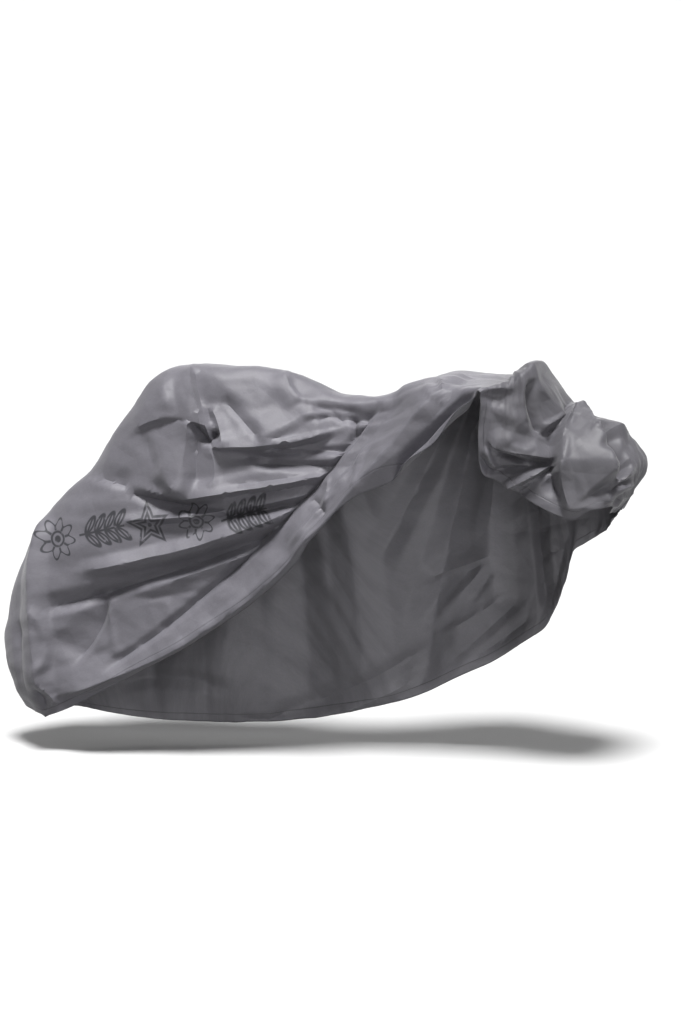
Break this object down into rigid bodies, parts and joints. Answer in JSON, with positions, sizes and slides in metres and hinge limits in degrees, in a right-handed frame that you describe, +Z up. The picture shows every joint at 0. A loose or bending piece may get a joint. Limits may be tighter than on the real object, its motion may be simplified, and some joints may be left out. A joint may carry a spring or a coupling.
{
  "type": "bicycle cover",
  "caption": "Waterproof cloth cover drawn over a bicycle, hollow, its near front half pulled up and bunched over the handlebar.",
  "frame": {"origin": "underside of the sheet at the top of the hump over the saddle", "axes": "+X from the rear wheel towards the front wheel, -Y the near side that the picture shows, +Z up"},
  "size_m": [1.5852, 0.4163, 0.9431],
  "materials": {
    "cloth": "soft-sheen grey coated polyester, plain fine weave"
  },
  "bodies": {
    "root": {"cover": "cloth"}
  },
  "joints": []
}
